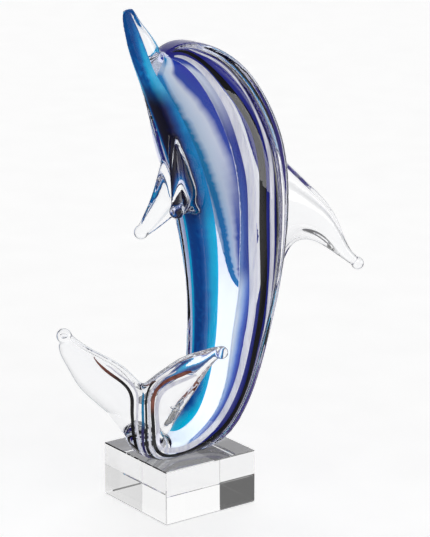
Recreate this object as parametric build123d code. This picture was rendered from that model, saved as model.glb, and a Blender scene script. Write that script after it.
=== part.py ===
from build123d import *
import os
from math import cos, pi, radians, sin

# Hot-worked glass dolphin, cased in clear glass, standing on a ground clear block. Millimetres.
# Frame: origin at the centre of the block's underside, +Z up. The dolphin's belly and beak face -X,
# its back faces +X, its left flank faces -Y, and its tail is curled up in front of the belly.

# --- Curves --------------------------------------------------------------------------------
HALF_STEPS = 6
TINY_ANGLE = 0.001

# --- Block and bond -------------------------------------------------------------------------
BASE_SIDE = 60.0
BASE_HEIGHT = 30.0
BASE_BEVEL = 0.5
BOND_THICKNESS = 0.3
FOOT_Z = BASE_HEIGHT + BOND_THICKNESS

# --- Body: oval sections from the beak's tip to the root of the flukes -----------------------
# Each row: belly point (x, z), back point (x, z), half breadth, offset towards +Y, turn about Z.
# Offset and turn stay at zero down to the tail, which swings out and twists to the left.
STATIONS = [
    ((-31.4, 274.9), (-28.4, 275.2), 1.4, 0.0, 0.0),
    ((-33.6, 271.0), (-24.6, 268.8), 4.0, 0.0, 0.0),
    ((-31.6, 261.5), (-17.8, 260.2), 6.2, 0.0, 0.0),
    ((-27.6, 248.5), (-12.0, 251.0), 7.8, 0.0, 0.0),
    ((-22.5, 237.0), (-10.6, 251.0), 9.8, 0.0, 0.0),
    ((-17.0, 225.5), (-5.6, 254.6), 13.6, 0.0, 0.0),
    ((-12.2, 214.5), (4.0, 256.0), 18.0, 0.0, 0.0),
    ((-8.6, 205.0), (18.0, 252.0), 21.8, 0.0, 0.0),
    ((-5.0, 195.0), (34.0, 241.0), 24.6, 0.0, 0.0),
    ((-0.5, 183.0), (48.5, 222.5), 26.6, 0.0, 0.0),
    ((4.0, 168.0), (60.0, 198.0), 27.2, 0.0, 0.0),
    ((8.0, 150.5), (65.4, 169.0), 26.0, 0.0, 0.0),
    ((10.8, 131.0), (65.4, 139.0), 24.0, 0.0, 0.0),
    ((11.9, 109.5), (61.5, 109.5), 21.4, 0.0, 0.0),
    ((11.2, 88.0), (54.2, 81.5), 18.6, 0.0, 0.0),
    ((8.9, 68.5), (45.0, 57.0), 16.3, -0.8, 0.0),
    ((2.1, 54.7), (28.7, 36.1), 14.0, -3.0, 0.0),
    ((-5.3, 50.2), (13.3, 30.6), 13.4, -6.0, 2.0),
    ((-10.2, 47.4), (-1.0, 29.4), 12.9, -7.8, 6.0),
    ((-15.1, 46.1), (-14.6, 29.3), 12.4, -8.8, 14.0),
    ((-19.3, 46.6), (-26.8, 31.8), 11.8, -10.2, 24.0),
    ((-23.9, 47.6), (-35.4, 38.1), 11.4, -12.4, 31.0),
    ((-27.1, 49.8), (-39.6, 46.2), 11.2, -14.7, 35.0),
    ((-29.8, 56.0), (-41.1, 53.0), 9.5, -16.7, 35.0),
    ((-32.8, 62.9), (-41.3, 60.6), 7.0, -18.2, 35.0),
]
TAIL_ROOT = 21

# --- Tail blade: a leaning plane with s across it, t up it and n out of its back face ----------
BLADE_FOOT = (-32.7, -12.8, 36.6)
BLADE_TURN = 35.0
BLADE_LEAN = 15.0

# Fluke ribs from the right tip to the left tip: lower point (s, t), upper point (s, t), half thickness.
FLUKE_RIBS = [
    ((-40.4, 64.0), (-35.9, 72.6), 2.2),
    ((-38.9, 55.0), (-32.8, 70.0), 2.5),
    ((-34.6, 44.5), (-26.3, 65.2), 2.8),
    ((-27.0, 33.5), (-17.0, 60.3), 3.2),
    ((-17.0, 23.0), (-8.0, 55.5), 3.8),
    ((-9.5, 11.5), (-1.6, 49.4), 4.4),
    ((1.7, 8.0), (3.6, 44.6), 4.6),
    ((13.2, 12.5), (9.4, 48.6), 4.4),
    ((20.6, 24.0), (17.8, 56.0), 3.8),
    ((29.2, 38.5), (27.2, 63.2), 3.2),
    ((37.5, 51.5), (36.2, 67.7), 2.8),
    ((44.6, 62.5), (44.0, 71.0), 2.5),
    ((49.0, 67.5), (48.6, 72.2), 2.2),
]
RIGHT_TIP = (-37.3, 70.2)
RIGHT_TIP_RADIUS = 3.6
LEFT_TIP = (50.4, 69.8)
LEFT_TIP_RADIUS = 3.0

# --- Fins: leading point, trailing point and half thickness, from inside the body outwards -----
DORSAL_RIBS = [
    ((55.0, 0.0, 194.0), (58.0, 0.0, 112.0), 4.8),
    ((66.0, 0.0, 187.0), (67.0, 0.0, 118.5), 4.6),
    ((76.0, 0.0, 177.5), (73.5, 0.0, 130.0), 4.3),
    ((86.0, 0.0, 168.5), (80.0, 0.0, 135.0), 4.0),
    ((98.0, 0.0, 157.3), (92.0, 0.0, 134.2), 3.5),
    ((107.7, 0.0, 145.2), (103.5, 0.0, 128.4), 3.1),
    ((114.5, 0.0, 132.4), (111.0, 0.0, 123.2), 2.7),
    ((121.4, 0.0, 122.2), (118.6, 0.0, 117.8), 2.4),
    ((126.6, 0.0, 117.2), (124.6, 0.0, 113.8), 2.2),
]
DORSAL_TIP = (126.6, 0.0, 114.8)
DORSAL_TIP_RADIUS = 3.2

LEFT_FIN_RIBS = [
    ((-2.0, -2.0, 207.0), (10.0, -2.0, 165.0), 3.6),
    ((-9.5, -9.0, 206.0), (4.5, -9.0, 163.5), 3.4),
    ((-14.0, -15.0, 194.0), (-3.0, -16.0, 166.0), 2.9),
    ((-17.5, -21.0, 180.0), (-11.5, -21.0, 168.0), 2.5),
    ((-19.0, -22.8, 173.6), (-15.2, -22.8, 167.6), 2.3),
]
LEFT_FIN_TIP = (-17.2, -23.0, 170.4)
LEFT_FIN_TIP_RADIUS = 3.4

RIGHT_FIN_RIBS = [
    ((1.0, 2.0, 195.0), (12.0, 3.0, 163.0), 3.6),
    ((-1.5, 8.5, 193.0), (9.0, 10.5, 161.0), 3.4),
    ((-6.5, 12.5, 173.5), (-0.5, 14.5, 154.5), 2.9),
    ((-11.3, 16.5, 158.0), (-7.4, 17.0, 149.6), 2.5),
    ((-13.6, 17.6, 152.8), (-10.4, 17.8, 147.6), 2.3),
]
RIGHT_FIN_TIP = (-12.2, 17.8, 150.2)
RIGHT_FIN_TIP_RADIUS = 3.4

# --- Colour inside the casing. Angles in degrees from the back, 180 at the belly ---------------
# Depths are fractions of the section: 0 on the axis, 1 on the surface.
# The bend is ground flat underneath, so the glass inside it lies deeper there.
CANE_DEPTHS = [(15, 0.87), (17, 0.76), (20, 0.76), (21, 0.80)]
BELLY_OUTER = 0.86
BACK_OUTERS = [(15, 0.76), (17, 0.62)]
BACK_THICKNESS = 0.16

# Belly band: station, half angle about the belly, inner depth. It starts between the first two stations.
BELLY_BAND = [
    (0.4, 50, 0.40), (1, 80, 0.10), (2, 75, 0.12), (3, 70, 0.15), (4, 62, 0.25), (5, 52, 0.40),
    (6, 44, 0.50),
    (7, 38, 0.56), (8, 34, 0.60), (9, 31, 0.62), (11, 30, 0.62), (13, 30, 0.62), (15, 29, 0.62),
    (16, 30, 0.60), (17, 31, 0.60), (18, 27, 0.64), (19, 16, 0.72),
]
# Cobalt layer over the back: station, half angle about the back.
COBALT_BACK = [
    (5, 45), (6, 62), (7, 80), (8, 94), (9, 103), (10, 110), (11, 115), (12, 118), (13, 118),
    (14, 117), (15, 113), (16, 110), (17, 104), (18, 92), (19, 70),
]
# Opal drop: station, radius as a fraction of the section, shift towards the back.
OPAL_CORE = [
    (5, 0.22, 0.10), (6, 0.34, 0.10), (7, 0.38, 0.06), (8, 0.38, 0.02), (9, 0.36, 0.0),
    (10, 0.33, 0.0), (11, 0.27, 0.0), (12, 0.17, 0.0),
]
OPAL_TIP = (38.5, 0.0, 118.0)
# Rings that round the point off: share of the last section, height above the tip.
OPAL_TIP_RINGS = [(0.07, 3.5), (0.02, 0.0)]

# Canes over the body: (station, angle from the back).
WHITE_ANGLES = [(5, 44), (6, 54), (7, 69), (8, 80), (9, 89), (10, 95), (11, 100), (12, 99), (13, 93),
                (14, 89), (15, 90), (16, 91), (17, 87), (18, 82), (19, 79), (20, 75)]
BLACK_ANGLES = [(5, 28), (6, 38), (7, 57), (8, 66), (9, 68), (10, 77), (11, 85), (12, 83), (13, 75),
                (14, 68), (15, 64), (16, 63), (17, 59), (18, 56)]
WHITE_THREAD_ANGLES = [(6, 24), (7, 33), (8, 40), (9, 53), (10, 62), (11, 70), (12, 68), (13, 61),
                       (14, 46), (15, 38), (16, 38), (17, 36), (18, 34)]
BLACK_THREAD_ANGLES = [(7, 19), (8, 30), (9, 41), (10, 53), (11, 59), (12, 56), (13, 47), (14, 33),
                       (15, 25), (16, 23), (17, 20), (18, 18)]
VIOLET_ANGLES = [(14, 57), (15, 51), (16, 50), (17, 46)]
SPINE_ANGLES = [(18, 0), (19, -1), (20, -3)]
# Where the canes turn up into the tail.
LEFT_BLACK_TURN = [(19, 53), (20, 49)]
RIGHT_BLACK_TURN = [(19, 47), (20, 37)]
LEFT_WHITE_THREAD_TURN = [(19, 32), (20, 29)]
RIGHT_WHITE_THREAD_TURN = [(19, 26), (20, 18)]
LEFT_BLACK_THREAD_TURN = [(19, 15), (20, 14)]

# Canes in the tail: (s, t) on the blade.
LEFT_WHITE_TAIL = [(10.3, 11.5), (11.1, 17.3), (11.7, 28.0), (13.2, 37.5), (16.8, 43.6), (22.6, 48.4),
                   (30.0, 52.6), (36.0, 55.6)]
LEFT_BLACK_TAIL = [(8.0, 11.5), (8.6, 17.4), (9.3, 28.0), (10.9, 38.4), (14.2, 44.9), (20.2, 50.2),
                   (27.8, 54.6), (33.5, 57.6)]
LEFT_WHITE_THREAD_TAIL = [(5.7, 11.5), (6.4, 17.2), (7.4, 28.0), (9.0, 39.2), (12.0, 46.3),
                          (18.3, 52.2), (25.0, 56.2)]
LEFT_BLACK_THREAD_TAIL = [(3.9, 11.5), (4.5, 17.2), (5.8, 28.0), (7.2, 39.8), (9.4, 45.9), (12.6, 49.2)]
SPINE_TAIL = [(2.1, 11.5), (2.7, 17.2), (3.9, 28.0), (4.7, 36.0), (4.8, 41.0)]
RIGHT_WHITE_THREAD_TAIL = [(0.0, 11.5), (-0.2, 16.5), (0.7, 28.0), (1.4, 37.0), (0.2, 43.3),
                           (-3.7, 47.8), (-9.0, 51.6), (-14.5, 55.4)]
RIGHT_BLACK_TAIL = [(-2.4, 11.5), (-2.6, 16.3), (-2.1, 28.0), (-1.9, 37.0), (-3.9, 42.6), (-8.2, 46.9),
                    (-13.2, 50.4), (-18.0, 54.8), (-21.0, 60.0)]

# Depth of the tail canes towards the blade's back face: (t, n), read linearly between rows.
TAIL_DEPTHS = [(11.5, 2.6), (17.3, 2.6), (30.0, 2.4), (40.0, 1.6), (50.0, 1.0), (62.0, 0.8)]

# Width and thickness of each kind of cane.
WHITE_CANE = (4.8, 2.0)
BLACK_CANE = (4.4, 2.0)
WHITE_THREAD = (3.0, 1.6)
BLACK_THREAD = (2.8, 1.5)
VIOLET_BAND = (2.2, 1.6)
TAIL_SPINE = (3.2, 1.6)

# Size of a cane along its length, as a share of its full width: (place, share).
# The place is the station on the body, and 21 onwards counts the points in the tail.
CANE_SHARES = [(5, 0.50), (6, 0.66), (7, 0.78), (8, 0.92), (9, 1.0), (12, 1.0), (14, 0.84), (16, 0.66),
               (18, 0.58), (20, 0.50), (21, 0.44), (24, 0.44), (27, 0.42), (29, 0.26)]
CANE_END_SHARE = 0.5


def between(table, place):
    """Straight-line reading of a (place, value) table."""
    if place <= table[0][0]:
        return table[0][1]
    for (low, first), (high, second) in zip(table, table[1:]):
        if place <= high:
            return first + (second - first) * (place - low) / (high - low)
    return table[-1][1]


class Section:
    """One oval section of the body: its centre, its half vector to the back and to the right flank."""

    def __init__(self, row):
        belly, back, half_breadth, offset, turn = row
        run = (back[0] - belly[0]) / 2
        rise = (back[1] - belly[1]) / 2
        self.centre = Vector((belly[0] + back[0]) / 2, offset, (belly[1] + back[1]) / 2)
        self.back = Vector(run * cos(radians(turn)), run * sin(radians(turn)), rise)
        self.right = Vector(-sin(radians(turn)), cos(radians(turn)), 0) * half_breadth

    def point(self, angle, depth):
        """Point at an angle from the back, positive to the right flank, and a depth fraction."""
        along_back = self.back * (cos(radians(angle)) * depth)
        along_right = self.right * (sin(radians(angle)) * depth)
        return self.centre + along_back + along_right

    def oval(self, share=1.0, shift=0.0):
        """Wire of the section's oval, scaled, and moved towards the back by a fraction."""
        return oval_wire(self.centre + self.back * shift, self.back * share, self.right * share)


SECTIONS = [Section(row) for row in STATIONS]


def section_at(place):
    """Section at a station, or part of the way to the next."""
    low = int(place)
    share = place - low
    if share == 0:
        return SECTIONS[low]
    rows = (STATIONS[low], STATIONS[low + 1])
    belly, back = [[first + (second - first) * share for first, second in zip(rows[0][side], rows[1][side])]
                   for side in (0, 1)]
    half_breadth, offset, turn = [rows[0][item] + (rows[1][item] - rows[0][item]) * share
                                  for item in (2, 3, 4)]
    return Section((belly, back, half_breadth, offset, turn))


def blade_point(s, t, n=0.0):
    """Point on the tail blade: s across it, t up it, n out of its back face."""
    turn = radians(BLADE_TURN)
    lean = radians(BLADE_LEAN)
    across = Vector(sin(turn), -cos(turn), 0)
    outward = Vector(-cos(turn), -sin(turn), 0)
    up = Vector(0, 0, 1) * cos(lean) + outward * sin(lean)
    face = outward * cos(lean) - Vector(0, 0, 1) * sin(lean)
    return Vector(*BLADE_FOOT) + across * s + up * t + face * n


def loop_wire(place):
    """Closed smooth wire through place(angle), as two halves that meet without a kink."""
    halves = []
    for start in (0, pi):
        points = [place(start + pi * step / HALF_STEPS) for step in range(HALF_STEPS + 1)]
        tangents = [place(end + TINY_ANGLE) - place(end - TINY_ANGLE) for end in (start, start + pi)]
        halves.append(Edge.make_spline(points, tangents=tangents))
    return Wire(halves)


def oval_wire(centre, first, second):
    """Oval with two half axes given as vectors."""
    return loop_wire(lambda angle: centre + first * cos(angle) + second * sin(angle))


def lens_wire(lead, trail, half_thickness, span):
    """Oval blade section between two edge points; span is the way that the blade grows."""
    chord = (lead - trail) * 0.5
    centre = (lead + trail) * 0.5
    thickness = chord.cross(span).normalized() * half_thickness
    return oval_wire(centre, chord, thickness)


def ball(centre, radius):
    return Solid.make_sphere(radius, Plane(origin=centre))


def body_outer():
    """Outer shape of the body, beak and tail root, before the foot is ground."""
    return Solid.make_loft([section.oval() for section in SECTIONS])


def fluke_solids():
    """Both flukes as one blade with its notch, and a fire-polished ball on each tip."""
    span = blade_point(1, 0) - blade_point(0, 0)
    wires = []
    for lower, upper, half_thickness in FLUKE_RIBS:
        wires.append(lens_wire(blade_point(*upper), blade_point(*lower), half_thickness, span))
    right_tip = ball(blade_point(*RIGHT_TIP), RIGHT_TIP_RADIUS)
    left_tip = ball(blade_point(*LEFT_TIP), LEFT_TIP_RADIUS)
    return [Solid.make_loft(wires), right_tip, left_tip]


def fin(ribs, tip, tip_radius):
    """A fin pulled from a hot bit of clear glass, ending in a ball."""
    first = (Vector(*ribs[0][0]) + Vector(*ribs[0][1])) * 0.5
    last = (Vector(*ribs[-1][0]) + Vector(*ribs[-1][1])) * 0.5
    span = last - first
    wires = []
    for lead, trail, half_thickness in ribs:
        wires.append(lens_wire(Vector(*lead), Vector(*trail), half_thickness, span))
    return Solid.make_loft(wires) + ball(Vector(*tip), tip_radius)


def crescent_wire(section, mid_angle, half_angle, outer, inner):
    """Closed crescent: an oval whose long axis is wrapped round the section."""
    mid_depth = (outer + inner) / 2
    half_depth = (outer - inner) / 2

    def place(around):
        return section.point(mid_angle + half_angle * cos(around), mid_depth + half_depth * sin(around))

    return loop_wire(place)


def belly_band():
    """Aqua and blue glass from the beak, under the throat and belly, to the tail bend."""
    wires = []
    for station, half_angle, inner in BELLY_BAND:
        wires.append(crescent_wire(section_at(station), 180, half_angle, BELLY_OUTER, inner))
    return Solid.make_loft(wires)


def cobalt_back():
    """Cobalt layer over the back and upper flanks, below the canes."""
    wires = []
    for station, half_angle in COBALT_BACK:
        outer = between(BACK_OUTERS, station)
        wires.append(crescent_wire(SECTIONS[station], 0, half_angle, outer, outer - BACK_THICKNESS))
    return Solid.make_loft(wires)


def opal_core():
    """Milky drop on the axis of the head and trunk, drawn out to a point."""
    wires = []
    for station, share, shift in OPAL_CORE:
        wires.append(SECTIONS[station].oval(share, shift))
    last = SECTIONS[OPAL_CORE[-1][0]]
    tip_centre = Vector(*OPAL_TIP)
    for share, rise in OPAL_TIP_RINGS:
        wires.append(oval_wire(tip_centre + Vector(0, 0, rise), last.back * share, last.right * share))
    return Solid.make_loft(wires)


def cane_route(angles, side, tail_points):
    """Centre points of a cane, with the outward direction and the place of each."""
    route = []
    for station, angle in angles:
        section = SECTIONS[station]
        point = section.point(side * angle, between(CANE_DEPTHS, station))
        route.append((point, point - section.centre, station))
    for index, (s, t) in enumerate(tail_points):
        depth = between(TAIL_DEPTHS, t)
        point = blade_point(s, t, depth)
        route.append((point, blade_point(s, t, depth + 1) - point, TAIL_ROOT + index))
    return route


def cane(size, angles, side, tail_points=()):
    """Flattened cane lying just under the surface, with drawn-out ends."""
    width, thickness = size
    route = cane_route(angles, side, tail_points)
    wires = []
    for index, (point, outward, place) in enumerate(route):
        before = route[max(index - 1, 0)][0]
        after = route[min(index + 1, len(route) - 1)][0]
        along = (after - before).normalized()
        share = between(CANE_SHARES, place)
        if index in (0, len(route) - 1):
            share = share * CANE_END_SHARE
        across = along.cross(outward).normalized()
        half_width = across * (width * share / 2)
        half_thickness = across.cross(along) * (thickness * share / 2)
        wires.append(oval_wire(point, half_width, half_thickness))
    return Solid.make_loft(wires)


def colour_canes():
    """All canes by node name. The right flank repeats the left; their tails differ, as laid by hand."""
    left = -1
    right = 1
    left_black = BLACK_ANGLES + LEFT_BLACK_TURN
    right_black = BLACK_ANGLES + RIGHT_BLACK_TURN
    left_white_thread = WHITE_THREAD_ANGLES + LEFT_WHITE_THREAD_TURN
    right_white_thread = WHITE_THREAD_ANGLES + RIGHT_WHITE_THREAD_TURN
    left_black_thread = BLACK_THREAD_ANGLES + LEFT_BLACK_THREAD_TURN
    return {
        "white_cane_left": cane(WHITE_CANE, WHITE_ANGLES, left, LEFT_WHITE_TAIL),
        "white_cane_right": cane(WHITE_CANE, WHITE_ANGLES, right),
        "black_cane_left": cane(BLACK_CANE, left_black, left, LEFT_BLACK_TAIL),
        "black_cane_right": cane(BLACK_CANE, right_black, right, RIGHT_BLACK_TAIL),
        "white_thread_left": cane(WHITE_THREAD, left_white_thread, left, LEFT_WHITE_THREAD_TAIL),
        "white_thread_right": cane(WHITE_THREAD, right_white_thread, right, RIGHT_WHITE_THREAD_TAIL),
        "black_thread_left": cane(BLACK_THREAD, left_black_thread, left, LEFT_BLACK_THREAD_TAIL),
        "black_thread_right": cane(BLACK_THREAD, BLACK_THREAD_ANGLES, right),
        "violet_band_left": cane(VIOLET_BAND, VIOLET_ANGLES, left),
        "violet_band_right": cane(VIOLET_BAND, VIOLET_ANGLES, right),
        "tail_spine": cane(TAIL_SPINE, SPINE_ANGLES, right, SPINE_TAIL),
    }


def base_block():
    block = Box(BASE_SIDE, BASE_SIDE, BASE_HEIGHT, align=(Align.CENTER, Align.CENTER, Align.MIN))
    return chamfer(block.edges(), BASE_BEVEL)


def slab(z_low, z_high):
    """Wide flat slab between two heights, used to grind the foot and cut the bond."""
    reach = 4 * BASE_SIDE
    low = Box(reach, reach, z_high - z_low, align=(Align.CENTER, Align.CENTER, Align.MIN))
    return Pos(0, 0, z_low) * low


def build():
    outer = body_outer()
    whole = outer + fluke_solids()
    pad = outer & slab(BASE_HEIGHT, FOOT_Z)
    colours = colour_canes()
    colours["belly_band"] = belly_band()
    colours["cobalt_back"] = cobalt_back()
    colours["opal_core"] = opal_core()
    casing = whole - [slab(0, FOOT_Z), *colours.values()]
    fins = {
        "dorsal_fin": fin(DORSAL_RIBS, DORSAL_TIP, DORSAL_TIP_RADIUS) - outer,
        "pectoral_fin_left": fin(LEFT_FIN_RIBS, LEFT_FIN_TIP, LEFT_FIN_TIP_RADIUS) - outer,
        "pectoral_fin_right": fin(RIGHT_FIN_RIBS, RIGHT_FIN_TIP, RIGHT_FIN_TIP_RADIUS) - outer,
    }
    nodes = {"base_block": base_block(), "adhesive_pad": pad, "body_casing": casing}
    nodes.update(colours)
    nodes.update(fins)
    return nodes


os.makedirs("parts", exist_ok=True)
for node_name, solid in build().items():
    export_step(solid, f"parts/{node_name}.step")
    print(node_name, round(solid.volume, 1), len(solid.solids()))
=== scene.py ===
import math

import bmesh
import bpy
from mathutils import Matrix, Vector
from mathutils.bvhtree import BVHTree
from mathutils.kdtree import KDTree


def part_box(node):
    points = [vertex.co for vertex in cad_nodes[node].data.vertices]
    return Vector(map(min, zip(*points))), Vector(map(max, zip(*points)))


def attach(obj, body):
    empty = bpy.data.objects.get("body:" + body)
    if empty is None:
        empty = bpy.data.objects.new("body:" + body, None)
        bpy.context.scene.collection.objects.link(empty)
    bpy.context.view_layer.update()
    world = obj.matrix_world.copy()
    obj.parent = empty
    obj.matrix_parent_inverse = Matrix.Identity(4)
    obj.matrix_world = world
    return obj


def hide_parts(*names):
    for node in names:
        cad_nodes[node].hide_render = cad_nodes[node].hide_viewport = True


# Glass dolphin on a clear block. The clear casing and the three fins are re-meshed evenly, so that the
# glass bends light smoothly, and the coloured glass lies inside the casing as in the real piece.

MM = 0.001

# --- Meshes ------------------------------------------------------------------------------------
WELD_DISTANCE = 0.001 * MM
# Cell size of the even glass mesh, and how often and how hard it is ironed.
SKIN_VOXEL = 0.65 * MM
SKIN_ROUNDS = 8
IRON_FACTOR = 0.5
FINS = ("dorsal_fin", "pectoral_fin_left", "pectoral_fin_right")
RIM_SWELL = 0.6 * MM
# The flukes lie above FLUKE_FROM, below FLUKE_TOP and on the belly side of FLUKE_SIDE.
FLUKE_FROM = 58 * MM
FLUKE_SIDE = -8 * MM
FLUKE_BLEND = 6 * MM
FLUKE_TOP = 110 * MM
FLUKE_SPLIT = 0.5
SKIN_REACH = 1.0 * MM
# Share of faces that the copies of the coloured glass keep.
COLOUR_SHARE = 0.2
BOND_GAP = 0.03 * MM
BUBBLE_FINENESS = 3
# Every so many-th point is enough to measure distances to.
SAMPLE_STEP = 2
SKIN_STEP = 3
# Half width of the strip along the middle plane, for the layers and for the core.
MIDDLE_HALF = 3 * MM
CORE_HALF = 1.5 * MM
CORE_LOOK = 0.3
PROBE = 1.0 * MM
BUBBLES = [
    # centre (x, y, z), half axes and turn about Z in degrees, all in millimetres
    ((-27.8, -34.8, 68.7), (2.0, 0.5, 1.0), -55.0),
    ((-69.0, 7.4, 104.4), (1.5, 0.7, 1.0), -55.0),
]

# --- Glass -------------------------------------------------------------------------------------
SHARP = 0.0
GLASS_IOR = 1.5
GLASS_TINT = (0.985, 0.99, 1.0, 1)
BLOCK_TINT = (0.99, 0.99, 0.99, 1)
# Size and depth of the ripples, and how edge-on the glass is where the painted shade on its rim sets in.
CASING_RIPPLE = 14 * MM
CASING_DEPTH = 0.05 * MM
CASING_RIM_SHADE = (0.72, 1.0)
BLADE_RIPPLE = 10 * MM
BLADE_DEPTH = 0.04 * MM
BLADE_RIM_SHADE = (0.25, 0.9)
BLOCK_RIPPLE = 30 * MM
BLOCK_DEPTH = 0.0005 * MM
# How much painted glow each coloured glass has, standing in for the light that reaches it through the
# casing, and its roughness.
WHITE_PAINTED_GLOW = 0.35
VIOLET_PAINTED_GLOW = 0.3
BLACK_PAINTED_GLOW = 0.1
BELLY_PAINTED_GLOW = 0.35
COBALT_PAINTED_GLOW = 0.65
CORE_PAINTED_GLOW = 0.35
SPINE_PAINTED_GLOW = 0.25
CANE_ROUGHNESS = 0.25
BLACK_ROUGHNESS = 0.2
LAYER_ROUGHNESS = 0.3
CORE_ROUGHNESS = 0.35
PAPER_ROUGHNESS = 0.9
# Sealed inside the casing, the coloured glass has no polished surface of its own.
NO_GLOSS = 0.0
CANE_STREAK = 2.5 * MM
LAYER_STREAK = 6 * MM
BELLY_STREAK = 5 * MM
STREAK_DETAIL = 3.0
CANE_STRETCH = (1, 1, 0.12)
BELLY_STRETCH = (1, 1, 0.15)
RIPPLE_STRETCH = (1, 1, 0.6)
SWIRL = 0.03
BLEND_HALF = 4 * MM
# The red-brown cane ends lie below BROWN_TOP and on the belly side of BROWN_SIDE.
BROWN_TOP = 112 * MM
BROWN_SIDE = -8 * MM
# Heights between which one run of colours turns into the next.
THROAT_RISE = (150 * MM, 172 * MM)
BEAK_RISE = (222 * MM, 240 * MM)
FLANK_RISE = (118 * MM, 134 * MM)
HEAD_RISE = (200 * MM, 240 * MM)
CORE_RISE = (150 * MM, 205 * MM)
SPINE_RISE = (52 * MM, 62 * MM)
BROWN_FROM_LEFT = 66 * MM
BROWN_FROM_RIGHT = 84 * MM

# --- Colours, as linear light ------------------------------------------------------------------
BLACK = (0.0, 0.0, 0.0, 1.0)
INSIDE_WHITE = (0.78, 0.79, 0.82, 1.0)
# Painted shade on glass rims seen edge-on, in place of the dark outlines that refraction gives.
RIM_SHADE_GREY = (0.16, 0.18, 0.22, 1.0)


def srgb(red, green, blue):
    """Linear colour from a usual 0 to 255 colour."""
    values = []
    for level in (red, green, blue):
        share = level / 255
        values.append(share / 12.92 if share <= 0.04045 else ((share + 0.055) / 1.055) ** 2.4)
    return (*values, 1.0)


# --- Mesh making -------------------------------------------------------------------------------
def add_object(name, mesh):
    piece = bpy.data.objects.new(name, mesh)
    bpy.context.scene.collection.objects.link(piece)
    return piece


def apply_modifiers(piece):
    """Turns the modified shape into the piece's own mesh."""
    graph = bpy.context.evaluated_depsgraph_get()
    shaped = bpy.data.meshes.new_from_object(piece.evaluated_get(graph))
    old = piece.data
    piece.modifiers.clear()
    piece.data = shaped
    bpy.data.meshes.remove(old)


def diagonal(piece):
    corners = [Vector(corner) for corner in piece.bound_box]
    return (corners[6] - corners[0]).length


def outer_shell(piece):
    """Keeps the largest closed shell of a mesh, so that the rooms for the coloured glass go."""
    view = bpy.context.view_layer
    bpy.ops.object.select_all(action="DESELECT")
    view.objects.active = piece
    piece.select_set(True)
    bpy.ops.object.mode_set(mode="EDIT")
    bpy.ops.mesh.select_all(action="SELECT")
    bpy.ops.mesh.remove_doubles(threshold=WELD_DISTANCE)
    bpy.ops.mesh.separate(type="LOOSE")
    bpy.ops.object.mode_set(mode="OBJECT")
    shells = list(bpy.context.selected_objects)
    if piece not in shells:
        shells.append(piece)
    shells.sort(key=diagonal)
    kept = shells.pop()
    for shell in shells:
        bpy.data.objects.remove(shell)
    return kept


def even_mesh(piece, voxel, rounds):
    """Re-meshes a closed shape in even quads and irons out the steps."""
    remesh = piece.modifiers.new("even", "REMESH")
    remesh.mode = "VOXEL"
    remesh.voxel_size = voxel
    ironing = piece.modifiers.new("iron", "SMOOTH")
    ironing.factor = IRON_FACTOR
    ironing.iterations = rounds
    apply_modifiers(piece)
    piece.data.shade_smooth()


def clear_slots(piece, material):
    piece.data.materials.clear()
    piece.data.materials.append(material)


def stand_for(piece, node, material):
    """Gives a finished piece its material and its body, and hides the CAD node that it stands for."""
    clear_slots(piece, material)
    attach(piece, "root")
    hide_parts(node)


def bubble_mesh(mesh, centre, half_axes, turn):
    """Adds a small air bubble: a closed shell facing inwards."""
    shape = bmesh.new()
    shape.from_mesh(mesh)
    place = Matrix.Translation(Vector(centre) * MM) @ Matrix.Rotation(math.radians(turn), 4, "Z")
    place = place @ Matrix.Diagonal((*[axis * MM for axis in half_axes], 1.0))
    made = bmesh.ops.create_icosphere(shape, subdivisions=BUBBLE_FINENESS, radius=1.0, matrix=place)
    faces = {face for vertex in made["verts"] for face in vertex.link_faces}
    for face in faces:
        face.smooth = True
    bmesh.ops.reverse_faces(shape, faces=list(faces))
    shape.to_mesh(mesh)
    shape.free()


def fused_glass(nodes):
    """Body, flukes and fins as one even mesh, because the fins are fused to the body."""
    body = outer_shell(add_object("fused", nodes["body_casing"].data.copy()))
    body_surface = surface_of(body.data)
    shape = bmesh.new()
    shape.from_mesh(body.data)
    body_count = len(shape.verts)
    for node in FINS:
        shape.from_mesh(nodes[node].data)
    round_rims(shape, body_count)
    shape.to_mesh(body.data)
    shape.free()
    even_mesh(body, SKIN_VOXEL, SKIN_ROUNDS)
    return body, body_surface


def fluke_share(place):
    """1 on the flukes, 0 on the body, smooth between."""
    up = min(max((place.z - FLUKE_FROM) / FLUKE_BLEND, 0), 1)
    front = min(max((FLUKE_SIDE - place.x) / FLUKE_BLEND, 0), 1)
    return up * front if place.z < FLUKE_TOP else 0.0


def round_rims(shape, body_count):
    """Swells the fins and flukes by a hair, which rounds their fire-polished rims."""
    shape.normal_update()
    moves = []
    for index, vertex in enumerate(shape.verts):
        share = fluke_share(vertex.co) if index < body_count else 1.0
        moves.append(vertex.normal * (RIM_SWELL * share))
    for vertex, move in zip(shape.verts, moves):
        vertex.co += move


def surface_of(mesh):
    shape = bmesh.new()
    shape.from_mesh(mesh)
    tree = BVHTree.FromBMesh(shape)
    shape.free()
    return tree


def share_faces(mesh, body_surface, nodes):
    """Face numbers of the body and of each fin: a fin's faces lie on it and stand off the body."""
    shares = {"body_casing": []}
    fins = {}
    for node in FINS:
        shares[node] = []
        fins[node] = (surface_of(nodes[node].data), *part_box(node))
    for face in mesh.polygons:
        centre = face.center
        owner = "body_casing"
        for node, (surface, low, high) in fins.items():
            near = all(low[axis] - SKIN_REACH < centre[axis] < high[axis] + SKIN_REACH for axis in range(3))
            if near and surface.find_nearest(centre)[3] < body_surface.find_nearest(centre)[3]:
                owner = node
        shares[owner].append(face.index)
    return shares


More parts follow.
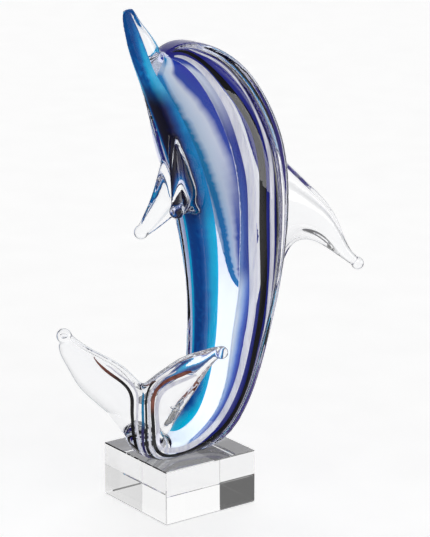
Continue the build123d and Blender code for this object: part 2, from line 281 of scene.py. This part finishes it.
def part_of(mesh, faces, name):
    """Piece made of some faces of a mesh, shaded as they were in the whole."""
    rings = [tuple(mesh.polygons[index].vertices) for index in faces]
    used = sorted({vertex for ring in rings for vertex in ring})
    number = {vertex: place for place, vertex in enumerate(used)}
    places = [mesh.vertices[vertex].co.copy() for vertex in used]
    normals = [mesh.vertices[vertex].normal.copy() for vertex in used]
    part = bpy.data.meshes.new(name)
    part.from_pydata(places, [], [[number[vertex] for vertex in ring] for ring in rings])
    part.shade_smooth()
    part.normals_split_custom_set_from_vertices(normals)
    return add_object(name, part)


def make_clear_glass(nodes, body_material, blade_material):
    """The clear body with its flukes, and the three fins, as pieces of one glass surface."""
    whole, body_surface = fused_glass(nodes)
    for node, faces in share_faces(whole.data, body_surface, nodes).items():
        piece = part_of(whole.data, faces, "glass_" + node)
        stand_for(piece, node, body_material if node == "body_casing" else blade_material)
        if node == "body_casing":
            piece.data.materials.append(blade_material)
            for face in piece.data.polygons:
                face.material_index = int(fluke_share(face.center) > FLUKE_SPLIT)
            add_bubbles(piece)
    skin_points = [vertex.co.copy() for vertex in list(whole.data.vertices)[::SKIN_STEP]]
    bpy.data.objects.remove(whole)
    return skin_points


def add_bubbles(piece):
    for centre, half_axes, turn in BUBBLES:
        bubble_mesh(piece.data, centre, half_axes, turn)


def make_bond(nodes, material):
    """The clear adhesive, a little thinner than its gap."""
    piece = add_object("glass_bond", nodes["adhesive_pad"].data.copy())
    low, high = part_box("adhesive_pad")
    middle = (low.z + high.z) / 2
    share = 1 - 2 * BOND_GAP / (high.z - low.z)
    for vertex in piece.data.vertices:
        vertex.co.z = middle + (vertex.co.z - middle) * share
    stand_for(piece, "adhesive_pad", material)


def tree_of(points):
    tree = KDTree(len(points))
    for index, point in enumerate(points):
        tree.insert(point, index)
    tree.balance()
    return tree


def some_points(node, step, keep=None):
    """Every so many-th point of a CAD node's mesh, of those that keep() takes."""
    points = [vertex.co.copy() for vertex in list(node.data.vertices)[::step]]
    if keep:
        points = [point for point in points if keep(point)]
    return points


def write_share(piece, name, near, far):
    """Stores how far each point lies on the way from the near points to the far ones."""
    layer = piece.data.attributes.new(name, "FLOAT", "POINT")
    near_tree = tree_of(near)
    far_tree = tree_of(far)
    for vertex, entry in zip(piece.data.vertices, layer.data):
        to_near = near_tree.find(vertex.co)[2]
        to_far = far_tree.find(vertex.co)[2]
        entry.value = to_near / (to_near + to_far)


def write_inside(piece, skin_points):
    """Stores 1 on the faces that look into the body and 0 on those that look out of it."""
    layer = piece.data.attributes.new("inside", "FLOAT", "POINT")
    skin_tree = tree_of(skin_points)
    for vertex, entry in zip(piece.data.vertices, layer.data):
        ahead = skin_tree.find(vertex.co + vertex.normal * PROBE)[2]
        behind = skin_tree.find(vertex.co - vertex.normal * PROBE)[2]
        entry.value = float(ahead > behind)


def make_colour(nodes, node, material):
    """A lighter copy of one piece of coloured glass."""
    piece = add_object("colour_" + node, nodes[node].data.copy())
    thin = piece.modifiers.new("thin", "DECIMATE")
    thin.ratio = COLOUR_SHARE
    apply_modifiers(piece)
    piece.data.shade_smooth()
    stand_for(piece, node, material)
    return piece


# --- Materials ---------------------------------------------------------------------------------
class Tree:
    """A node tree, with short calls for its nodes."""

    def __init__(self, tree):
        self.nodes = tree.nodes
        self.links = tree.links

    def math(self, kind, first, second):
        node = self.nodes.new("ShaderNodeMath")
        node.operation = kind
        for socket, value in zip(node.inputs, (first, second)):
            if isinstance(value, (int, float)):
                socket.default_value = value
            else:
                self.links.new(value, socket)
        return node.outputs[0]

    def step(self, value, low, high):
        """0 below low and 1 above high, smooth between."""
        node = self.nodes.new("ShaderNodeMapRange")
        node.interpolation_type = "SMOOTHSTEP"
        self.links.new(value, node.inputs["Value"])
        node.inputs["From Min"].default_value = low
        node.inputs["From Max"].default_value = high
        return node.outputs[0]

    def ramp(self, value, stops):
        node = self.nodes.new("ShaderNodeValToRGB")
        bar = node.color_ramp
        while len(bar.elements) < len(stops):
            bar.elements.new(0.5)
        for element, (place, colour) in zip(bar.elements, stops):
            element.position = place
            element.color = colour
        self.links.new(value, node.inputs[0])
        return node.outputs[0]

    def mix(self, share, first, second):
        """First colour where share is 0, second where it is 1."""
        node = self.nodes.new("ShaderNodeMix")
        node.data_type = "RGBA"
        self.links.new(share, node.inputs[0])
        for socket, value in zip((node.inputs[6], node.inputs[7]), (first, second)):
            if isinstance(value, tuple):
                socket.default_value = value
            else:
                self.links.new(value, socket)
        return node.outputs[2]


class Recipe(Tree):
    """A material around one Principled shader."""

    def __init__(self, name):
        self.material = bpy.data.materials.new(name)
        self.material.use_nodes = True
        super().__init__(self.material.node_tree)
        self.shader = self.nodes["Principled BSDF"]

    def set(self, **values):
        for key, value in values.items():
            self.shader.inputs[key.replace("_", " ")].default_value = value

    def link(self, socket, key):
        self.links.new(socket, self.shader.inputs[key])

    def place(self):
        """Position in the model's frame, in metres."""
        return self.nodes.new("ShaderNodeTexCoord").outputs["Object"]

    def attribute(self, name):
        node = self.nodes.new("ShaderNodeAttribute")
        node.attribute_name = name
        return node.outputs["Fac"]

    def axis(self, letter):
        node = self.nodes.new("ShaderNodeSeparateXYZ")
        self.links.new(self.place(), node.inputs[0])
        return node.outputs[letter]

    def stretch(self, scale):
        node = self.nodes.new("ShaderNodeMapping")
        node.inputs["Scale"].default_value = scale
        self.links.new(self.place(), node.inputs["Vector"])
        return node.outputs[0]

    def noise(self, scale, size, detail=2.0):
        """Noise from 0 to 1; scale stretches it along X, Y and Z, size is in metres."""
        node = self.nodes.new("ShaderNodeTexNoise")
        self.links.new(self.stretch(scale), node.inputs["Vector"])
        node.inputs["Scale"].default_value = 1 / size
        node.inputs["Detail"].default_value = detail
        return node.outputs["Fac"]

    def half(self):
        """A steady half."""
        node = self.nodes.new("ShaderNodeValue")
        node.outputs[0].default_value = 0.5
        return node.outputs[0]

    def rim(self, blend):
        """0 where the surface faces the viewer and 1 where it is seen edge-on."""
        node = self.nodes.new("ShaderNodeLayerWeight")
        node.inputs["Blend"].default_value = blend
        return node.outputs["Facing"]

    def bump(self, height, strength, distance):
        node = self.nodes.new("ShaderNodeBump")
        node.inputs["Strength"].default_value = strength
        node.inputs["Distance"].default_value = distance
        self.links.new(height, node.inputs["Height"])
        self.link(node.outputs[0], "Normal")

    def glow(self, colour, strength):
        """Colour of coloured glass, also painted on as glow that stands in for the light shining through
        it.
        """
        self.link(colour, "Base Color")
        self.link(colour, "Emission Color")
        self.set(Emission_Strength=strength, Specular_IOR_Level=NO_GLOSS)


def clear_glass(name, tint, ripple_size, ripple, rim=None):
    """Polished clear glass with the slight ripple of hand-worked or pressed glass."""
    recipe = Recipe(name)
    recipe.set(Base_Color=tint, Roughness=SHARP, IOR=GLASS_IOR, Transmission_Weight=1.0)
    # Painted shade: where a rim is given, the glass turns grey where it is seen edge-on, in place of the
    # dark outlines that refraction gives.
    if rim:
        edge = recipe.step(recipe.rim(0.5), *rim)
        recipe.link(recipe.mix(edge, tint, RIM_SHADE_GREY), "Base Color")
    recipe.bump(recipe.noise(RIPPLE_STRETCH, ripple_size), 1.0, ripple)
    return recipe.material


def opaque_cane(name, colour, streak, glow):
    """Dense glass cane with faint drawn-out streaks."""
    recipe = Recipe(name)
    streaks = recipe.noise(CANE_STRETCH, CANE_STREAK, STREAK_DETAIL)
    recipe.glow(recipe.ramp(streaks, [(0.3, colour), (0.7, streak)]), glow)
    recipe.set(Roughness=CANE_ROUGHNESS)
    return recipe.material


def black_cane(name, brown_from):
    """Black cane whose thin, stretched end in the fluke shows red-brown."""
    recipe = Recipe(name)
    streaks = recipe.noise(CANE_STRETCH, CANE_STREAK, STREAK_DETAIL)
    black = recipe.ramp(streaks, [(0.3, srgb(8, 6, 10)), (0.75, srgb(24, 22, 26))])
    brown = recipe.ramp(streaks, [(0.3, srgb(118, 58, 46)), (0.7, srgb(160, 96, 80))])
    high = recipe.step(recipe.axis("Z"), brown_from - BLEND_HALF, brown_from + BLEND_HALF)
    low = recipe.math("LESS_THAN", recipe.axis("Z"), BROWN_TOP)
    front = recipe.math("LESS_THAN", recipe.axis("X"), BROWN_SIDE)
    mask = recipe.math("MULTIPLY", recipe.math("MULTIPLY", high, low), front)
    recipe.glow(recipe.mix(mask, black, brown), BLACK_PAINTED_GLOW)
    recipe.set(Roughness=BLACK_ROUGHNESS)
    return recipe.material


def belly_glass():
    """Navy under the throat, blue along the middle and bright aqua along both edges."""
    recipe = Recipe("belly_glass")
    across = recipe.attribute("across")
    swirl = recipe.noise(BELLY_STRETCH, BELLY_STREAK, STREAK_DETAIL)
    across = recipe.math("ADD", across, recipe.math("MULTIPLY", swirl, SWIRL))
    trunk = recipe.ramp(across, [
        (0.03, srgb(0, 64, 138)),
        (0.12, srgb(0, 86, 162)),
        (0.21, srgb(0, 112, 182)),
        (0.31, srgb(0, 164, 212)),
        (0.44, srgb(0, 192, 232)),
    ])
    throat = recipe.ramp(across, [
        (0.04, srgb(10, 8, 34)),
        (0.14, srgb(14, 18, 72)),
        (0.25, srgb(0, 70, 142)),
        (0.35, srgb(0, 130, 190)),
        (0.45, srgb(30, 172, 222)),
    ])
    beak = recipe.ramp(across, [
        (0.02, srgb(0, 72, 145)),
        (0.08, srgb(0, 112, 184)),
        (0.15, srgb(0, 168, 218)),
        (0.30, srgb(90, 198, 236)),
    ])
    height = recipe.axis("Z")
    colour = recipe.mix(recipe.step(height, *THROAT_RISE), trunk, throat)
    colour = recipe.mix(recipe.step(height, *BEAK_RISE), colour, beak)
    recipe.glow(colour, BELLY_PAINTED_GLOW)
    recipe.set(Roughness=LAYER_ROUGHNESS)
    return recipe.material


def cobalt_glass():
    """Cobalt layer, drawn out to pale blue along its front edges."""
    recipe = Recipe("cobalt_glass")
    back = recipe.attribute("toward_back")
    swirl = recipe.noise(CANE_STRETCH, LAYER_STREAK, STREAK_DETAIL)
    back = recipe.math("ADD", back, recipe.math("MULTIPLY", swirl, SWIRL))
    low = recipe.ramp(back, [
        (0.28, srgb(238, 242, 248)),
        (0.34, srgb(165, 192, 232)),
        (0.40, srgb(74, 112, 200)),
        (0.47, srgb(28, 46, 158)),
        (0.72, srgb(26, 32, 132)),
        (0.95, srgb(52, 40, 132)),
    ])
    high = recipe.ramp(back, [
        (0.28, srgb(120, 150, 205)),
        (0.33, srgb(50, 84, 168)),
        (0.42, srgb(22, 46, 148)),
        (0.58, srgb(26, 36, 142)),
        (0.78, srgb(28, 28, 124)),
        (0.95, srgb(44, 34, 120)),
    ])
    head = recipe.ramp(back, [
        (0.60, srgb(206, 213, 227)),
        (0.65, srgb(60, 84, 172)),
        (0.72, srgb(36, 44, 150)),
        (0.95, srgb(40, 34, 132)),
    ])
    height = recipe.axis("Z")
    outer = recipe.mix(recipe.step(height, *FLANK_RISE), low, high)
    outer = recipe.mix(recipe.step(height, *HEAD_RISE), outer, head)
    inside = recipe.attribute("inside")
    recipe.link(recipe.mix(inside, outer, INSIDE_WHITE), "Base Color")
    # Painted glow: the faces that look into the body glow in full inside white, the outer faces at half
    # their colour.
    dim = recipe.mix(recipe.half(), outer, BLACK)
    recipe.link(recipe.mix(inside, dim, INSIDE_WHITE), "Emission Color")
    recipe.set(Emission_Strength=COBALT_PAINTED_GLOW, Specular_IOR_Level=NO_GLOSS)
    recipe.set(Roughness=LAYER_ROUGHNESS)
    return recipe.material


def opal_glass():
    """Teal on the belly side, milky in the middle, cobalt and navy on the back side."""
    recipe = Recipe("opal_glass")
    back = recipe.attribute("toward_back")
    swirl = recipe.noise(CANE_STRETCH, LAYER_STREAK, STREAK_DETAIL)
    back = recipe.math("ADD", back, recipe.math("MULTIPLY", swirl, SWIRL))
    low = recipe.ramp(back, [
        (0.06, srgb(0, 118, 176)),
        (0.14, srgb(168, 192, 212)),
        (0.24, srgb(182, 190, 208)),
        (0.34, srgb(34, 62, 150)),
        (0.55, srgb(24, 24, 96)),
    ])
    high = recipe.ramp(back, [
        (0.06, srgb(0, 140, 196)),
        (0.18, srgb(196, 212, 228)),
        (0.34, srgb(204, 210, 222)),
        (0.45, srgb(28, 60, 154)),
        (0.70, srgb(26, 36, 138)),
    ])
    height = recipe.step(recipe.axis("Z"), *CORE_RISE)
    recipe.glow(recipe.mix(height, low, high), CORE_PAINTED_GLOW)
    recipe.set(Roughness=CORE_ROUGHNESS)
    return recipe.material


def spine_glass():
    """Teal where the tail's middle line is thin, navy towards the bend."""
    recipe = Recipe("spine_glass")
    height = recipe.step(recipe.axis("Z"), *SPINE_RISE)
    recipe.glow(recipe.mix(height, srgb(40, 34, 96), srgb(0, 130, 180)), SPINE_PAINTED_GLOW)
    recipe.set(Roughness=CANE_ROUGHNESS)
    return recipe.material


# --- Setting -----------------------------------------------------------------------------------
CAMERA_PLACE = Vector((-629.14, -890.33, 427.13)) * MM
CAMERA_RIGHT = Vector((0.80609, -0.59180, 0.0))
CAMERA_UP = Vector((0.15476, 0.21080, 0.96520))
CAMERA_LENS = 140.0
CAMERA_SENSOR = 36.0


def make_camera():
    camera = bpy.data.cameras.new("camera")
    camera.lens = CAMERA_LENS
    camera.sensor_width = CAMERA_SENSOR
    holder = add_object("camera", camera)
    right = CAMERA_RIGHT.normalized()
    up = (CAMERA_UP - right * CAMERA_UP.dot(right)).normalized()
    turn = Matrix((right, up, right.cross(up))).transposed().to_4x4()
    holder.matrix_world = Matrix.Translation(CAMERA_PLACE) @ turn
    bpy.context.scene.camera = holder


FLOOR_DROP = 0.2 * MM
FLOOR_REACH = 3.0
FLOOR_CELLS = 8
FLOOR_GLOW = 0.75
# Half side of the painted shadow patch under the block, which no light reaches.
SHADE_HALF = 29.6 * MM
SHADE_GREY = (0.20, 0.20, 0.21, 1)


def make_floor():
    """Plain pale floor, a hair below the block, which the glass doesn't mirror, with a painted shadow under
    the block.
    """
    shape = bmesh.new()
    bmesh.ops.create_grid(shape, x_segments=FLOOR_CELLS, y_segments=FLOOR_CELLS, size=FLOOR_REACH)
    mesh = bpy.data.meshes.new("floor")
    shape.to_mesh(mesh)
    shape.free()
    floor = add_object("floor", mesh)
    floor.location.z = -FLOOR_DROP
    floor.visible_glossy = False
    recipe = Recipe("floor_paper")
    grain = recipe.noise((1, 1, 1), 40 * MM)
    paper = recipe.ramp(grain, [(0.3, (0.80, 0.80, 0.80, 1)), (0.7, (0.82, 0.82, 0.82, 1))])
    # Painted shadow: the square under the block takes SHADE_GREY as colour and glow instead of the paper.
    wide = recipe.math("ABSOLUTE", recipe.axis("X"), 0)
    deep = recipe.math("ABSOLUTE", recipe.axis("Y"), 0)
    under = recipe.math("LESS_THAN", recipe.math("MAXIMUM", wide, deep), SHADE_HALF)
    recipe.glow(recipe.mix(under, paper, SHADE_GREY), FLOOR_GLOW)
    recipe.set(Roughness=PAPER_ROUGHNESS)
    clear_slots(floor, recipe.material)


# Brightness of the room round the object, by compass direction in degrees from +X towards +Y.
ROOM = [
    (-180, 0.50), (-140, 0.45), (-118, 0.75), (-60, 0.95), (-42, 0.20), (2, 0.10), (20, 1.0),
    (88, 1.0), (104, 0.10), (150, 0.10), (168, 0.45), (180, 0.50),
]
ROOM_TOP = 0.25
# Sine of the height angle between which the ring turns into the top.
TOP_FROM = 0.70
TOP_TO = 0.90
CAMERA_SKY = 1.0


def grey(level):
    return (level, level, level, 1)


def make_room():
    """Brightness by compass direction, dim overhead, and even white for the camera itself."""
    world = bpy.data.worlds.new("room")
    bpy.context.scene.world = world
    world.use_nodes = True
    tree = Tree(world.node_tree)
    axes = tree.nodes.new("ShaderNodeSeparateXYZ")
    tree.links.new(tree.nodes.new("ShaderNodeTexCoord").outputs["Generated"], axes.inputs[0])
    compass = tree.math("ARCTAN2", axes.outputs["Y"], axes.outputs["X"])
    turn = tree.math("DIVIDE", tree.math("ADD", compass, math.pi), math.tau)
    ring = tree.ramp(turn, [((degrees + 180) / 360, grey(level)) for degrees, level in ROOM])
    dome = tree.mix(tree.step(axes.outputs["Z"], TOP_FROM, TOP_TO), ring, grey(ROOM_TOP))
    direct = tree.nodes.new("ShaderNodeLightPath").outputs["Is Camera Ray"]
    light = tree.mix(direct, dome, grey(CAMERA_SKY))
    tree.links.new(light, tree.nodes["Background"].inputs["Color"])


def softbox(name, compass, distance, bottom, width, height, radiance):
    """Upright soft light panel, seen only in reflections, that faces the object's axis."""
    light = bpy.data.lights.new(name, "AREA")
    light.shape = "RECTANGLE"
    light.size = width
    light.size_y = height
    light.energy = radiance * math.pi * width * height
    lamp = add_object(name, light)
    way = Vector((math.cos(math.radians(compass)), math.sin(math.radians(compass)), 0))
    lamp.location = way * distance + Vector((0, 0, bottom + height / 2))
    lamp.rotation_euler = way.to_track_quat("Z", "Y").to_euler()
    lamp.visible_camera = False
    lamp.visible_diffuse = False
    lamp.visible_transmission = False


# --- Putting it together -----------------------------------------------------------------------
def make_colours(nodes, skin_points):
    white = opaque_cane("white_glass", srgb(236, 236, 244), srgb(205, 205, 218), WHITE_PAINTED_GLOW)
    violet = opaque_cane("violet_glass", srgb(58, 30, 140), srgb(84, 52, 160), VIOLET_PAINTED_GLOW)
    for side in ("left", "right"):
        make_colour(nodes, "white_cane_" + side, white)
        make_colour(nodes, "white_thread_" + side, white)
        make_colour(nodes, "violet_band_" + side, violet)
    black_left = black_cane("black_glass_left", BROWN_FROM_LEFT)
    black_right = black_cane("black_glass_right", BROWN_FROM_RIGHT)
    make_colour(nodes, "black_cane_left", black_left)
    make_colour(nodes, "black_cane_right", black_right)
    make_colour(nodes, "black_thread_left", black_right)
    make_colour(nodes, "black_thread_right", black_right)
    make_colour(nodes, "tail_spine", spine_glass())
    belly = make_colour(nodes, "belly_band", belly_glass())
    cobalt = make_colour(nodes, "cobalt_back", cobalt_glass())
    opal = make_colour(nodes, "opal_core", opal_glass())

    def near_middle(point):
        return abs(point.y) < MIDDLE_HALF

    belly_points = some_points(nodes["belly_band"], SAMPLE_STEP)
    belly_middle = some_points(nodes["belly_band"], SAMPLE_STEP, near_middle)
    cobalt_points = some_points(nodes["cobalt_back"], SAMPLE_STEP)
    cobalt_middle = some_points(nodes["cobalt_back"], SAMPLE_STEP, near_middle)
    write_share(belly, "across", belly_middle, cobalt_points)
    write_share(cobalt, "toward_back", belly_points, cobalt_middle)
    write_inside(cobalt, skin_points)
    middle_line = [vertex for vertex in opal.data.vertices if abs(vertex.co.y) < CORE_HALF]
    front = [vertex.co.copy() for vertex in middle_line if vertex.normal.x < -CORE_LOOK]
    back = [vertex.co.copy() for vertex in middle_line if vertex.normal.x > CORE_LOOK]
    write_share(opal, "toward_back", front, back)


GLASS_BOUNCES = 24
GLOSS_BOUNCES = 8
DIFFUSE_BOUNCES = 4
INDIRECT_LIMIT = 6.0


def set_light_paths():
    """Enough bounces for glass inside glass on glass."""
    cycles = bpy.context.scene.cycles
    cycles.max_bounces = GLASS_BOUNCES
    cycles.transmission_bounces = GLASS_BOUNCES
    cycles.glossy_bounces = GLOSS_BOUNCES
    cycles.diffuse_bounces = DIFFUSE_BOUNCES
    cycles.sample_clamp_indirect = INDIRECT_LIMIT
    bpy.context.scene.view_settings.view_transform = "Standard"


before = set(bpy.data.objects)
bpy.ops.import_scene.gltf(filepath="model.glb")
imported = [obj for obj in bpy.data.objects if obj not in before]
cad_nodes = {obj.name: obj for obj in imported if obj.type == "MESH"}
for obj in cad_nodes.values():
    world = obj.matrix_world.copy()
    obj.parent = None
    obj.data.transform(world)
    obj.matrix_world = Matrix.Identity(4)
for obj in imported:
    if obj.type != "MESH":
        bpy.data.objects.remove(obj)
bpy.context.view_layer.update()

casing = clear_glass("casing_glass", GLASS_TINT, CASING_RIPPLE, CASING_DEPTH, rim=CASING_RIM_SHADE)
blades = clear_glass("blade_glass", GLASS_TINT, BLADE_RIPPLE, BLADE_DEPTH, rim=BLADE_RIM_SHADE)
block = clear_glass("block_glass", BLOCK_TINT, BLOCK_RIPPLE, BLOCK_DEPTH)
dolphin_skin = make_clear_glass(cad_nodes, casing, blades)
make_bond(cad_nodes, block)
clear_slots(cad_nodes["base_block"], block)
make_colours(cad_nodes, dolphin_skin)

make_camera()
make_floor()
make_room()
softbox("softbox_right", compass=-40, distance=0.65, bottom=0.0, width=0.38, height=0.42, radiance=2.8)
set_light_paths()
